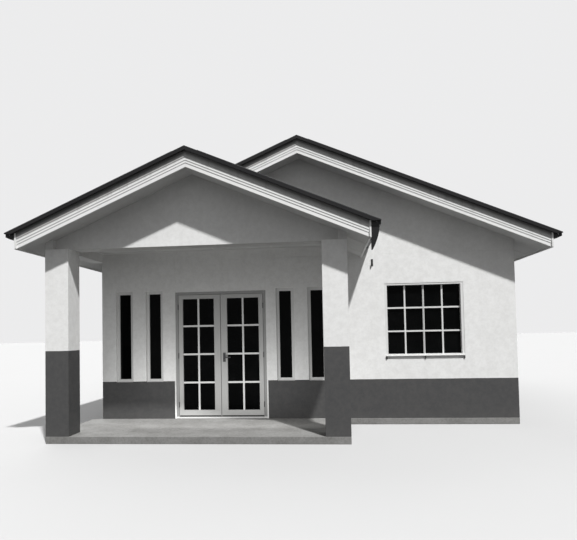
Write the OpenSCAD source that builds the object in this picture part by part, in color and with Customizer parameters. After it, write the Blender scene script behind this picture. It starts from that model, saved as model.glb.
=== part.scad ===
/* [House] */
// Width of the main house over its side walls
house_w = 6750; // [5000:10:9000]
// Depth of the main house from front to rear wall face
house_d = 8400; // [6000:50:12000]
// Thickness of the rendered outer walls
wall_t = 150; // [100:5:250]
// Thickness of the concrete floors
slab_t = 100; // [60:5:200]
// Height of the line where the gable walls start, above the floor
plate_h = 2635; // [2400:5:3000]
// Height of the barge boards' lower edge over the side walls, above the floor
verge_h = 2792; // [2600:1:3200]

/* [Roof] */
// Slope of both roofs in degrees
pitch = 23.2; // [15:0.1:35]
// How far the eave fascias stand out past the side walls
eave_over = 450; // [250:5:700]
// How far the main roof stands out past the front and rear walls
main_verge = 340; // [200:10:800]
// How far the porch roof stands out past the porch gable
porch_verge = 280; // [200:10:600]
// How far the metal sheet and its flashing stand out past the barge boards
verge_lip = 45; // [20:5:80]
// How far the metal sheet runs past the fascia
sheet_over = 70; // [40:5:100]
// Width of a gutter from the fascia to its lip
gutter_w = 125; // [90:5:200]
// Height of a gutter's back
gutter_h = 82; // [60:1:120]
// Length of the spout under the porch gutter's end
spout_h = 315; // [150:5:400]
// Height of a barge board or fascia
board_h = 226; // [180:2:320]
// Thickness of a barge board or fascia
board_t = 25; // [18:1:40]
// Depth of each step on the face of a barge board
step_d = 6; // [4:1:15]
// Thickness of the soffit and ceiling boards
lining_t = 10; // [6:1:20]
// Height of the soffit's top above the lower edge of the barge boards
soffit_up = 20; // [12:1:60]
// Thickness of the folded roof sheet
sheet_t = 3; // [2:0.5:6]
// Height of the ribs of the roof sheet
rib_h = 30; // [20:1:50]
// Distance between ribs
rib_pitch = 200; // [150:5:400]
// Width of a rib at its foot
rib_foot = 60; // [40:2:100]
// Width of a rib at its top
rib_top = 30; // [20:2:60]
// Height of the dark flashing's face at the verges
flash_face = 50; // [40:1:90]
// Width of the flashing's flange on the sheet
flash_top = 110; // [60:5:200]
// Width of each side of a ridge cap
cap_w = 170; // [100:5:260]
// Thickness of a rafter
rafter_t = 50; // [35:5:75]
// Greatest distance between rafters
rafter_step = 1200; // [600:50:1500]

/* [Porch] */
// How far the porch's left column stands out past the left wall
porch_out = 175; // [0:5:300]
// Distance from the front wall to the front of the porch columns
porch_d = 1500; // [1200:10:3000]
// Width of the porch over its columns
porch_w = 4245; // [3000:5:4800]
// How far the porch's right fascia stands out past its columns
porch_eave = 300; // [200:5:500]
// Side of a square column
column_w = 340; // [200:10:500]
// How far the porch gable sits behind the columns' faces
gable_set = 100; // [20:5:150]
// Width of the beams' front ends, which show beside the porch gable
beam_end = 110; // [80:5:150]
// Width of the beams from the columns to the house
beam_w = 200; // [150:10:300]
// Height of the porch ceiling above the columns' tops
ceiling_up = 165; // [25:5:180]

/* [Doors] */
// Distance from the porch's centre to the doorway's centre, to the right
door_off = 82.5; // [0:0.5:200]
// Width of the door frame over its outside
door_w = 1520; // [1200:2:2000]
// Height of the door frame's top above the floor
door_h = 2100; // [1900:10:2400]
// Face width of the door frame
jamb_w = 45; // [35:1:70]
// Depth of the door frame
jamb_d = 110; // [80:5:130]
// How far the door frame sits behind the wall face
door_set = 15; // [5:1:40]
// Thickness of a door leaf
leaf_t = 40; // [35:1:50]
// Gap round a door leaf
leaf_gap = 5; // [5:0.5:8]
// Gap between the two leaves
meet_gap = 8; // [8:0.5:12]
// Height of the threshold above the floor
sill_h = 25; // [15:1:40]
// Width of the upright on the hinge side of a leaf
stile_w = 72; // [50:1:110]
// Width of the upright on the meeting side of a leaf
meet_w = 106; // [80:1:130]
// Height of a leaf's bottom rail
rail_low = 108; // [80:1:250]
// Height of a leaf's top rail
rail_top = 65; // [50:1:150]
// Width of a glazing bar
bar_w = 28; // [18:1:40]
// Depth of a glazing bar
bar_d = 26; // [18:1:36]
// Thickness of the glass
glass_t = 5; // [4:0.5:8]
// Radius of a hinge knuckle
knuckle_r = 6; // [5:0.5:8]
// Radius of a hinge pin
pin_r = 3; // [2:0.5:4]
// Height of a hinge
hinge_h = 90; // [70:5:120]
// Height of the door lever above the floor
lever_h = 1005; // [900:5:1100]

/* [Windows] */
// Width of a narrow window's opening
slit_w = 291; // [200:1:400]
// Height of a narrow window's opening
slit_h = 1523; // [1200:1:1600]
// Height of a narrow window's lower edge above the floor
slit_z = 608; // [500:1:800]
// Distance from the porch's centre to the middle of the narrow windows, to the right
slit_off = 59; // [0:1:200]
// Distance between the centres of the two inner narrow windows
slit_span = 2204; // [1800:2:2600]
// Distance from an inner narrow window to the outer one beside it
slit_step = 518; // [400:1:700]
// Face width of a narrow window's frame
slit_frame = 48; // [20:1:80]
// Width of a square window's opening
win_w = 1234; // [900:2:1500]
// Height of a square window's opening
win_h = 1218; // [900:1:1400]
// Height of a square window's lower edge above the floor
win_z = 933; // [800:1:1100]
// Distance from the front window's centre to the right corner of the wall
win_side = 1414; // [900:1:1800]
// Face width of a window frame
win_frame = 42; // [20:1:50]
// Face height of a window's top rail
win_top = 30; // [20:1:60]
// Height of a window's bottom rail
win_rail = 83; // [40:1:120]
// Depth of a window frame
frame_d = 60; // [40:2:90]
// How far the window frames sit behind the wall face
frame_set = 50; // [10:2:60]
// Width of a window's glazing bar
win_bar = 24; // [16:1:40]
// Distance between the centres of the windows of a side wall
side_step = 3600; // [2500:50:4500]
// Distance between the centres of the windows of the rear wall
rear_step = 3300; // [2500:50:4000]

/* [Hidden] */
$fn = 48;
fit = 0.3;
m = tan(pitch);
front = -house_d / 2;
half_w = house_w / 2;
main_z = slab_t + verge_h + m * half_w;
eave_x = half_w + eave_over;
porch_l = -half_w - porch_out;
porch_r = porch_l + porch_w;
porch_x = -(porch_l + porch_r) / 2;
porch_z = main_z - m * porch_x;
porch_hl = eave_x - porch_x;
porch_hr = porch_w / 2 + porch_eave;
porch_y = front - porch_d;
main_front = front - main_verge;
main_rear = -main_front;
porch_front = porch_y - porch_verge;
step_at = [0, 0.245, 0.4, 0.59];
barge_face = (len(step_at) - 1) * step_d;
lip = barge_face + verge_lip;
sheet_front = lip - sheet_t - 1;
plate_z = slab_t + plate_h;
deck_up = board_h + fit;
rib_up = deck_up + (rib_h + sheet_t) / cos(pitch);
flash_up = rib_up + 3.3 + fit;
cap_up = flash_up;
door_l = -porch_x + door_off - door_w / 2;
door_r = door_l + door_w;
door_y = front + door_set;
pin_y = door_y - knuckle_r - 1;
leaf_w = (door_w - 2 * jamb_w - 2 * leaf_gap - meet_gap) / 2;
leaf_z = slab_t + sill_h + leaf_gap;
leaf_h = door_h - jamb_w - sill_h - 2 * leaf_gap;
slit_at = [for (s = [-1, 1], n = [0, 1])
    slit_off - porch_x + s * (slit_span / 2 + n * slit_step)];
win_x = half_w - win_side;
win_y = front + frame_set;

render_white = [0.90, 0.90, 0.89];
board_white = [0.93, 0.93, 0.92];
concrete = [0.62, 0.62, 0.60];
roof_dark = [0.13, 0.13, 0.14];
timber = [0.55, 0.45, 0.33];
frame_grey = [0.80, 0.80, 0.79];
glass_dark = [0.12, 0.14, 0.15, 0.5];
steel = [0.45, 0.45, 0.46];

// Extrudes an outline drawn in X and Z along Y, from y0 to y1.
module along(y0, y1) {
    translate([0, y1, 0]) rotate([90, 0, 0]) linear_extrude(y1 - y0) children();
}

// A band that follows a gable, from lo to hi above the barge boards' lower line.
module gable_band(x0, z0, left, right, lo, hi) {
    polygon([[x0 - left, z0 - m * left + lo], [x0, z0 + lo],
        [x0 + right, z0 - m * right + lo], [x0 + right, z0 - m * right + hi],
        [x0, z0 + hi], [x0 - left, z0 - m * left + hi]]);
}

// What the porch roof's right slope takes from the pieces of the main roof above it.
module porch_cut(up, y0, y1) {
    along(y0, y1) polygon([[-house_w, slab_t], [-house_w, porch_z + up + m * (house_w - porch_x)],
        [-porch_x, porch_z + up], [0, porch_z + up - m * porch_x], [0, slab_t]]);
}

// Places children on a slope: X runs down it from the ridge, Z stands square to it.
module slope(x0, z0, side) {
    translate([x0, 0, z0]) mirror([side < 0 ? 1 : 0, 0, 0]) rotate([0, pitch, 0])
        children();
}

// Folded sheet whose ribs run down the slope; the outline repeats along Y.
module ribbed_sheet(y0, y1, from_x, to_x) {
    count = floor((y1 - y0 - rib_foot) / rib_pitch);
    first = y0 + (y1 - y0 - count * rib_pitch) / 2;
    wall = (rib_foot - rib_top) / 2;
    top = [for (n = [0:count]) let (y = first + n * rib_pitch) each [
        [y - rib_foot / 2, sheet_t], [y - rib_foot / 2 + wall, rib_h + sheet_t],
        [y + rib_foot / 2 - wall, rib_h + sheet_t], [y + rib_foot / 2, sheet_t]]];
    below = [for (n = [count:-1:0]) let (y = first + n * rib_pitch) each [
        [y + rib_foot / 2 - sheet_t, 0], [y + rib_foot / 2 - wall - sheet_t, rib_h],
        [y - rib_foot / 2 + wall + sheet_t, rib_h], [y - rib_foot / 2 + sheet_t, 0]]];
    translate([from_x, 0, 0]) rotate([90, 0, 90]) linear_extrude(to_x - from_x)
        polygon(concat([[y0, sheet_t]], top, [[y1, sheet_t], [y1, 0]], below, [[y0, 0]]));
}

// Wall outline in X and Z with its top cut to the main roof's slope.
module raked(x0, x1, z0) {
    tops = [for (x = x0 < 0 && x1 > 0 ? [x1, 0, x0] : [x1, x0])
        [x, main_z + soffit_up - m * abs(x)]];
    polygon(concat([[x0, z0], [x1, z0]], tops));
}

module slit_holes() {
    for (x = slit_at) translate([x - slit_w / 2, front - 1, slab_t + slit_z])
        cube([slit_w, wall_t + 2, slit_h]);
}

// Where the windows of the unseen walls stand: [x, y, turn].
function other_windows() = [
    for (s = [-1, 1]) [-half_w, s * side_step / 2, -90],
    for (s = [-1, 1]) [half_w, s * side_step / 2, 90],
    for (s = [-1, 1]) [s * rear_step / 2, house_d / 2, 180]];

module window_hole() {
    translate([-win_w / 2, -1, slab_t + win_z]) cube([win_w, wall_t + 2, win_h]);
}

// Square window frame with four by three panes; its face looks towards -Y.
module window_frame() {
    w = win_w - 2 * fit;
    h = win_h - 2 * fit;
    pane_w = (w - 2 * win_frame - 3 * win_bar) / 4;
    pane_h = (h - win_top - win_rail - 2 * win_bar) / 3;
    translate([-w / 2, frame_set, slab_t + win_z + fit]) difference() {
        cube([w, frame_d, h]);
        translate([win_frame, frame_d / 2, win_rail])
            cube([w - 2 * win_frame, frame_d, h - win_top - win_rail]);
        for (i = [0:3], k = [0:2])
            translate([win_frame + i * (pane_w + win_bar), -1,
                win_rail + k * (pane_h + win_bar)])
                cube([pane_w, frame_d + 2, pane_h]);
    }
}

module window_glass() {
    translate([-win_w / 2 + win_frame + 1, frame_set + frame_d / 2 + fit,
        slab_t + win_z + win_rail + 1])
        cube([win_w - 2 * win_frame - 2, glass_t, win_h - win_top - win_rail - 2]);
}

module house_slab() color(concrete)
    translate([-half_w, front, 0]) cube([house_w, house_d, slab_t]);

module porch_slab() color(concrete)
    translate([porch_l, porch_y, 0]) cube([porch_w, porch_d - fit, slab_t]);

module front_wall_left() color(render_white) difference() {
    translate([-half_w, front, slab_t])
        cube([door_l + half_w, wall_t, plate_h]);
    slit_holes();
}

module front_wall_right() color(render_white) difference() {
    translate([door_r, front, slab_t]) cube([half_w - door_r, wall_t, plate_h]);
    slit_holes();
    translate([win_x, front, 0]) window_hole();
}

module front_wall_over_door() color(render_white)
    translate([door_l + fit, front, slab_t + door_h + fit])
        cube([door_w - 2 * fit, wall_t, plate_h - door_h - fit]);

module front_gable_wall() color(render_white)
    along(front, front + wall_t) raked(-half_w, half_w, plate_z + fit);

module side_wall(x0, x1) {
    along(front + wall_t + fit, -front - wall_t - fit) raked(x0, x1, slab_t);
}

module left_wall() color(render_white) difference() {
    side_wall(-half_w, -half_w + wall_t);
    for (w = other_windows()) if (w[2] == -90)
        translate([w[0], w[1], 0]) rotate([0, 0, w[2]]) window_hole();
}

module right_wall() color(render_white) difference() {
    side_wall(half_w - wall_t, half_w);
    for (w = other_windows()) if (w[2] == 90)
        translate([w[0], w[1], 0]) rotate([0, 0, w[2]]) window_hole();
}

module rear_wall() color(render_white) difference() {
    along(-front - wall_t, -front) raked(-half_w, half_w, slab_t);
    for (w = other_windows()) if (w[2] == 180)
        translate([w[0], w[1], 0]) rotate([0, 0, w[2]]) window_hole();
}

module porch_column_left() color(render_white)
    translate([porch_l, porch_y, slab_t]) cube([column_w, column_w, plate_h]);

module porch_column_right() color(render_white)
    translate([porch_r - column_w, porch_y, slab_t]) cube([column_w, column_w, plate_h]);

module porch_outline(x0, x1) {
    mid = [for (x = [x1, x0])
        [x, porch_z + soffit_up - m * abs(x + porch_x)]];
    polygon(concat([[x0, plate_z + fit], [x1, plate_z + fit]], [mid[0]],
        x0 < -porch_x && x1 > -porch_x ? [[-porch_x, porch_z + soffit_up]] : [],
        [mid[1]]));
}

// The gable over the porch, set back between the front ends of the side beams.
module porch_gable_wall() color(render_white)
    along(porch_y + gable_set, porch_y + column_w - fit)
        porch_outline(porch_l + beam_end + fit, porch_r - beam_end - fit);

module porch_side_beams() color(render_white)
    for (part = [[porch_y, porch_y + column_w + 1, beam_end],
        [porch_y + column_w, front - fit, beam_w]])
        along(part[0], part[1]) {
            porch_outline(porch_l, porch_l + part[2]);
            porch_outline(porch_r - part[2], porch_r);
        }

module porch_ceiling() color(board_white)
    translate([porch_l + beam_w + fit, porch_y + column_w + fit, plate_z + ceiling_up])
        cube([porch_w - 2 * beam_w - 2 * fit, porch_d - column_w - 2 * fit, lining_t]);

module house_ceiling() color(board_white)
    translate([-half_w + wall_t + fit, front + wall_t + fit, plate_z - 60])
        cube([house_w - 2 * wall_t - 2 * fit, house_d - 2 * wall_t - 2 * fit, lining_t]);

module main_rafters() color(timber) {
    run = house_d - wall_t;
    count = ceil(run / rafter_step);
    for (n = [0:count]) {
        y = front + wall_t / 2 + n * run / count;
        along(y - rafter_t / 2, y + rafter_t / 2)
            gable_band(0, main_z, eave_x - board_t - fit, eave_x - board_t - fit,
                soffit_up + fit, board_h);
    }
}

module porch_rafters() color(timber)
    for (y = [porch_y + (gable_set + column_w) / 2, porch_y + porch_d / 2,
        front - rafter_t / 2 - 10])
        along(y - rafter_t / 2, y + rafter_t / 2)
            gable_band(-porch_x, porch_z, porch_hl - board_t - fit,
                porch_hr - board_t - fit, soffit_up + fit, board_h);

module main_roof_sheet_left() color(roof_dark)
    slope(0, main_z + deck_up, -1)
        ribbed_sheet(main_front - sheet_front, main_rear + sheet_front, 0,
            (eave_x + sheet_over) / cos(pitch));

module main_roof_sheet_right() color(roof_dark)
    slope(0, main_z + deck_up, 1)
        ribbed_sheet(main_front - sheet_front, main_rear + sheet_front, 0,
            (eave_x + sheet_over) / cos(pitch));

module porch_roof_sheet_left() color(roof_dark)
    slope(-porch_x, porch_z + deck_up, -1)
        ribbed_sheet(porch_front - sheet_front, main_front - sheet_front - fit, 0,
            (porch_hl + sheet_over) / cos(pitch));

module porch_roof_sheet_right() color(roof_dark) difference() {
    slope(-porch_x, porch_z + deck_up, 1)
        ribbed_sheet(porch_front - sheet_front, front - fit, 0,
            (porch_hr + sheet_over) / cos(pitch));
    translate([-porch_x - cap_w, main_front - lip - fit, porch_z])
        cube([2 * cap_w, main_verge + lip + 1, board_h * 2]);
}

// Folded cap over a ridge, resting on the verge flashing.
module ridge_cap(x0, z0, y0, y1) {
    along(y0, y1) gable_band(x0, z0, cap_w, cap_w, cap_up, cap_up + 3.3);
}

module ridge_caps() color(roof_dark) {
    ridge_cap(0, main_z, main_front - lip, main_rear + lip);
    ridge_cap(-porch_x, porch_z, porch_front - lip, main_front - lip - 10);
}

// Dark folded flashing over the edge of the sheet; the ends of its face are cut level.
module flashing(x0, z0, left, right, y, dir) {
    face = y - dir * lip;
    low = z0 + flash_up - flash_face;
    high = z0 + flash_up - 3.3;
    cut = (high - low) / m;
    along(min(face, face + dir * sheet_t), max(face, face + dir * sheet_t))
        polygon([[x0 - left, high - m * left], [x0 - left + cut, high - m * left],
            [x0, low], [x0 + right - cut, high - m * right],
            [x0 + right, high - m * right], [x0, high]]);
    along(min(face, face + dir * flash_top), max(face, face + dir * flash_top))
        gable_band(x0, z0, left, right, rib_up + fit, flash_up - fit);
}

module verge_flashings() color(roof_dark) {
    difference() {
        flashing(0, main_z, eave_x + gutter_w, eave_x + gutter_w, main_front, 1);
        porch_cut(rib_up + 2, main_front - board_h, front);
    }
    flashing(0, main_z, eave_x + gutter_w, eave_x + gutter_w, main_rear, -1);
    flashing(-porch_x, porch_z, porch_hl + gutter_w, porch_hr + gutter_w, porch_front, 1);
}

// Outline of a gutter from the eave's edge outwards; x and z start where the fascia ends.
function gutter_line(t) = [[fit + t, board_h - 8 + t], [fit + t, board_h - 8 - gutter_h + t],
    [gutter_w * 0.42 - t, board_h - 8 - gutter_h + t],
    [gutter_w - t, board_h - 4 - m * gutter_w + t]];

// Dark folded gutter with closed ends; spout adds an outlet that tapers at its front end.
module gutter(x0, z0, half, side, y0, y1, spout = false) {
    outer = gutter_line(0);
    inner = gutter_line(3);
    foot = board_h - 8 - gutter_h;
    throat = concat([[gutter_w - 22, foot + 20]], [for (t = [0:0.125:1])
        [fit + (gutter_w - 22) * (1 - pow(t, 1.7)), foot - t * spout_h]]);
    translate([x0 + side * half, 0, z0 - m * half]) mirror([side < 0 ? 1 : 0, 0, 0])
        difference() {
            union() {
                along(y0, y1) polygon(outer);
                if (spout) along(y0, y0 + 80) polygon(concat(throat, [[fit, foot + 2]]));
            }
            along(y0 + 3, y1 - 3) polygon(concat(inner, [[gutter_w, board_h], [fit, board_h]]));
            if (spout) along(y0 + 3, y0 + 77) intersection() {
                offset(delta = -3) polygon(concat(throat, [[fit, foot + 12]]));
                translate([0, foot - spout_h + 25]) square([gutter_w, spout_h]);
            }
            if (spout) along(y0 - 1, y0 + 81) translate([-1, foot - spout_h - 1])
                square([gutter_w, 30]);
        }
}

module gutters() color(roof_dark) {
    face = porch_front - barge_face;
    gutter(0, main_z, eave_x, -1, face, main_rear + barge_face);
    gutter(0, main_z, eave_x, 1, main_front - barge_face, main_rear + barge_face);
    gutter(-porch_x, porch_z, porch_hr, 1, face, front - fit, true);
}

// Pair of barge boards that meet at the ridge, with four stepped faces.
module barge(x0, z0, left, right, y, dir) {
    for (n = [0:len(step_at) - 1]) {
        y_out = y - dir * n * step_d;
        y_in = y + dir * board_t;
        along(min(y_out, y_in), max(y_out, y_in))
            gable_band(x0, z0, left, right, step_at[n] * board_h, board_h);
    }
}

module front_barge_boards() color(board_white) difference() {
    barge(0, main_z, eave_x, eave_x, main_front, 1);
    porch_cut(rib_up + 2, main_front - board_h, front);
}

module rear_barge_boards() color(board_white)
    barge(0, main_z, eave_x, eave_x, main_rear, -1);

module porch_barge_boards() color(board_white)
    barge(-porch_x, porch_z, porch_hl, porch_hr, porch_front, 1);

// Upright board under the sheet's lower edge; side tells which way it faces.
module fascia(x0, z0, half, side) {
    a = x0 + side * half;
    b = x0 + side * (half - board_t);
    polygon([[a, z0 - m * half], [b, z0 - m * half], [b, z0 - m * (half - board_t) + board_h],
        [a, z0 - m * half + board_h]]);
}

module eave_fascias() color(board_white) {
    along(porch_front + board_t + fit, main_rear - board_t - fit)
        fascia(0, main_z, eave_x, -1);
    along(main_front + board_t + fit, main_rear - board_t - fit)
        fascia(0, main_z, eave_x, 1);
    along(porch_front + board_t + fit, front - fit)
        fascia(-porch_x, porch_z, porch_hr, 1);
}

// Soffit strip on one slope, from distance a to b on the ridge's side.
module soffit(x0, z0, a, b, side) {
    polygon([for (p = [[a, 0], [b, 0], [b, 1], [a, 1]])
        [x0 + side * p[0], z0 - m * p[0] + soffit_up - lining_t * (1 - p[1])]]);
}

module eave_soffits() color(board_white) {
    inner = eave_x - board_t - fit;
    along(front, main_rear - board_t - fit)
        soffit(0, main_z, half_w + fit, inner, -1);
    along(porch_front + board_t + fit, front - fit)
        soffit(0, main_z, -porch_l + fit, inner, -1);
    along(main_front + board_t + fit, main_rear - board_t - fit)
        soffit(0, main_z, half_w + fit, inner, 1);
    along(porch_front + board_t + fit, front - fit)
        soffit(-porch_x, porch_z, porch_w / 2 + fit, porch_hr - board_t - fit, 1);
}

module verge_soffits() color(board_white) {
    difference() {
        along(main_front + board_t + fit, front - fit)
            gable_band(0, main_z, half_w, half_w, soffit_up - lining_t, soffit_up);
        porch_cut(rib_up + 2, main_front - board_h, front);
    }
    along(house_d / 2 + fit, main_rear - board_t - fit)
        gable_band(0, main_z, half_w, half_w, soffit_up - lining_t, soffit_up);
    for (part = [[porch_y - fit, 0], [porch_y + gable_set - fit, beam_end + fit]])
        along(porch_front + board_t + fit, part[0])
            gable_band(-porch_x, porch_z, porch_w / 2 - part[1], porch_w / 2 - part[1],
                soffit_up - lining_t, soffit_up);
}

module door_frame() color(frame_grey) {
    stop = 14;
    stop_y = door_y + leaf_t + leaf_gap;
    difference() {
        translate([door_l + fit, door_y, slab_t])
            cube([door_w - 2 * fit, jamb_d, door_h - fit]);
        translate([door_l + jamb_w, door_y - 1, slab_t + sill_h])
            cube([door_w - 2 * jamb_w, stop_y - door_y + 1,
                door_h - jamb_w - sill_h]);
        translate([door_l + jamb_w + stop, door_y - 1, slab_t + sill_h])
            cube([door_w - 2 * jamb_w - 2 * stop, jamb_d + 2,
                door_h - jamb_w - stop - sill_h]);
    }
}

// Glazed leaf of two by four panes, hinged at x = 0 and reaching to x = leaf_w.
module leaf() {
    pane_w = (leaf_w - stile_w - meet_w - bar_w) / 2;
    field_h = leaf_h - rail_low - rail_top;
    pane_h = (field_h - 3 * bar_w) / 4;
    back = (leaf_t + bar_d) / 2;
    difference() {
        cube([leaf_w, leaf_t, leaf_h]);
        translate([stile_w, back, rail_low])
            cube([leaf_w - stile_w - meet_w, leaf_t, field_h]);
        translate([stile_w, -1, rail_low])
            cube([leaf_w - stile_w - meet_w, 1 + (leaf_t - bar_d) / 2, field_h]);
        for (i = [0:1], k = [0:3])
            translate([stile_w + i * (pane_w + bar_w), -1,
                rail_low + k * (pane_h + bar_w)])
                cube([pane_w, leaf_t + 2, pane_h]);
    }
}

module leaf_glass() {
    translate([stile_w + 1, (leaf_t + bar_d) / 2 + fit, rail_low + 1])
        cube([leaf_w - stile_w - meet_w - 2, glass_t, leaf_h - rail_low - rail_top - 2]);
}

module at_left_leaf() translate([door_l + jamb_w + leaf_gap, door_y, leaf_z]) children();

module at_right_leaf() translate([door_r - jamb_w - leaf_gap, door_y, leaf_z])
    mirror([1, 0, 0]) children();

module door_leaf_left() color(frame_grey) at_left_leaf() leaf();

module door_leaf_right() color(frame_grey) at_right_leaf() leaf();

module door_glass_left() color(glass_dark) at_left_leaf() leaf_glass();

module door_glass_right() color(glass_dark) at_right_leaf() leaf_glass();

// Lever on a back plate, on both faces of the right leaf's meeting upright.
module door_handle() color(steel) at_right_leaf()
    translate([leaf_w - meet_w / 2, 0, lever_h - sill_h - leaf_gap])
        for (s = [0, 1]) translate([0, s * leaf_t, 0]) mirror([0, s, 0]) {
            translate([-20, -6 - fit, -75]) cube([40, 6, 150]);
            translate([0, -6, 0]) rotate([90, 0, 0]) cylinder(r = 9, h = 40);
            translate([-110, -52, -9]) cube([119, 14, 18]);
        }

hinge_at = [for (z = [200, leaf_h / 2, leaf_h - 200]) z - hinge_h / 2];

// Fixed half of a hinge: lower knuckle, pin and the plate on the jamb.
module hinge_fixed() {
    half = hinge_h / 2 - 0.5;
    cylinder(r = knuckle_r, h = half);
    cylinder(r = pin_r, h = hinge_h);
    translate([-leaf_gap / 2 + fit, 0, 0]) cube([1.7, 35, half]);
    translate([-leaf_gap / 2 + fit, knuckle_r + 1.5, 0])
        cube([1.7, 33.5 - knuckle_r, hinge_h]);
}

// Moving half: upper knuckle bored for the pin, and the plate on the leaf's edge.
module hinge_moving() {
    half = hinge_h / 2 + 0.5;
    difference() {
        union() {
            translate([0, 0, half]) cylinder(r = knuckle_r, h = hinge_h - half);
            translate([leaf_gap / 2 - fit - 1.7, 0, half])
                cube([1.7, 35, hinge_h - half]);
            translate([leaf_gap / 2 - fit - 1.7, knuckle_r + 1.5, 0])
                cube([1.7, 33.5 - knuckle_r, hinge_h]);
        }
        translate([0, 0, -1]) cylinder(r = pin_r + 0.1, h = hinge_h + 2);
    }
}

module at_hinges(side) {
    x = side < 0 ? door_l + jamb_w + leaf_gap / 2 : door_r - jamb_w - leaf_gap / 2;
    for (z = hinge_at) translate([x, pin_y, leaf_z + z])
        mirror([side < 0 ? 0 : 1, 0, 0]) children();
}

module frame_hinges() color(steel) {
    at_hinges(-1) hinge_fixed();
    at_hinges(1) hinge_fixed();
}

module leaf_hinges_left() color(steel) at_hinges(-1) hinge_moving();

module leaf_hinges_right() color(steel) at_hinges(1) hinge_moving();

module sidelight_frames() color(frame_grey)
    for (x = slit_at) translate([x - slit_w / 2 + fit, win_y, slab_t + slit_z + fit])
        difference() {
            cube([slit_w - 2 * fit, frame_d, slit_h - 2 * fit]);
            translate([slit_frame, -1, slit_frame])
                cube([slit_w - 2 * fit - 2 * slit_frame, frame_d + 2,
                    slit_h - 2 * fit - 2 * slit_frame]);
        }

module sidelight_glass() color(glass_dark)
    for (x = slit_at) translate([x - slit_w / 2 + slit_frame + 2 * fit,
        win_y + frame_d / 2, slab_t + slit_z + slit_frame + 2 * fit])
        cube([slit_w - 2 * slit_frame - 4 * fit, glass_t,
            slit_h - 2 * slit_frame - 4 * fit]);

module front_window_frame() color(frame_grey) translate([win_x, front, 0]) window_frame();

module front_window_glass() color(glass_dark) translate([win_x, front, 0]) window_glass();

module other_window_frames() color(frame_grey)
    for (w = other_windows()) translate([w[0], w[1], 0]) rotate([0, 0, w[2]]) window_frame();

module other_window_glass() color(glass_dark)
    for (w = other_windows()) translate([w[0], w[1], 0]) rotate([0, 0, w[2]]) window_glass();

house_slab();
porch_slab();
front_wall_left();
front_wall_right();
front_wall_over_door();
front_gable_wall();
left_wall();
right_wall();
rear_wall();
porch_column_left();
porch_column_right();
porch_gable_wall();
porch_side_beams();
porch_ceiling();
house_ceiling();
main_rafters();
porch_rafters();
main_roof_sheet_left();
main_roof_sheet_right();
porch_roof_sheet_left();
porch_roof_sheet_right();
ridge_caps();
verge_flashings();
gutters();
front_barge_boards();
rear_barge_boards();
porch_barge_boards();
eave_fascias();
eave_soffits();
verge_soffits();
door_frame();
door_leaf_left();
door_leaf_right();
door_glass_left();
door_glass_right();
door_handle();
frame_hinges();
leaf_hinges_left();
leaf_hinges_right();
sidelight_frames();
sidelight_glass();
front_window_frame();
front_window_glass();
other_window_frames();
other_window_glass();
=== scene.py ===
# %% [markdown]
# # A bungalow with a gabled porch
# This lesson dresses a small rendered house. Its shapes come from an exact CAD model, and
# Blender adds what the CAD leaves out: paint, plaster grain, dust, screws and thin trim.
# Everything is in metres. X runs to the right, Y from the front to the rear, and Z is up.

# %% Load the CAD frame
import math

import bmesh
import bpy
from mathutils import Matrix, Vector


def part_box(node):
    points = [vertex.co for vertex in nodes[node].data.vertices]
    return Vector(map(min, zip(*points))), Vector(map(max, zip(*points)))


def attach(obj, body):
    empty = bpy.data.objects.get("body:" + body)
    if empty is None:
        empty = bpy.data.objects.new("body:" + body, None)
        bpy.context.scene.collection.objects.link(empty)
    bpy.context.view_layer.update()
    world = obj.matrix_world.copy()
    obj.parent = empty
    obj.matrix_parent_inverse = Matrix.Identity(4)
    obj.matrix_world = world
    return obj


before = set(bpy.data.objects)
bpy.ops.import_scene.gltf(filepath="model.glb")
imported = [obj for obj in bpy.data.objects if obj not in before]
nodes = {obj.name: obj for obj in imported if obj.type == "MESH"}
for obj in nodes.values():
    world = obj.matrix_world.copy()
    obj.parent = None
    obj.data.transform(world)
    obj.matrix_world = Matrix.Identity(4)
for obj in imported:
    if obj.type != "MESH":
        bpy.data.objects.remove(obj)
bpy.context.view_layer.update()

# %% [markdown]
# ## Main lines
# The house's main lines are read from the CAD nodes, so that the paint lines and the trim
# below follow them. A node's box gives its lowest and highest corner. The rear barge boards
# reach further down the slope than the porch's, and the difference gives the pitch. `fall`
# is how far a slope drops in one metre across. Both ridge heights here are those of the
# boards' lower edge, and the left slopes of both roofs lie in one plane.

# %% Main lines of the house
slab_low, slab_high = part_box("house_slab")
door_low, door_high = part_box("door_frame")
half_w = slab_high.x
front_y, rear_y = slab_low.y, slab_high.y
floor_z = slab_high.z
print("wall faces", round(half_w, 3), round(front_y, 3), "floor", floor_z)

# %% Roof lines
gable_low, gable_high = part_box("porch_gable_wall")
ridge_x = (gable_low.x + gable_high.x) / 2
rear_barge_low, rear_barge_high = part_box("rear_barge_boards")
porch_barge_low, porch_barge_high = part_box("porch_barge_boards")
eave_x = rear_barge_high.x
porch_reach = porch_barge_high.x - ridge_x
fall = (((rear_barge_high.z - rear_barge_low.z) - (porch_barge_high.z - porch_barge_low.z))
        / (eave_x - porch_reach))
PITCH = math.atan(fall)
ridge_z = rear_barge_low.z + fall * eave_x
porch_ridge_z = ridge_z + fall * ridge_x
print("pitch", round(math.degrees(PITCH), 2), "ridges", round(ridge_z, 3),
      round(porch_ridge_z, 3), "porch ridge at x", round(ridge_x, 4))

# %% [markdown]
# ## The camera
# The camera stands in front of the house, a little to the right of its middle, at eye
# height. The lens, the place and the small tilt come from matching the house's edges. The
# picture is cropped off its lens's axis, which Blender's shift repeats.

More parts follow.
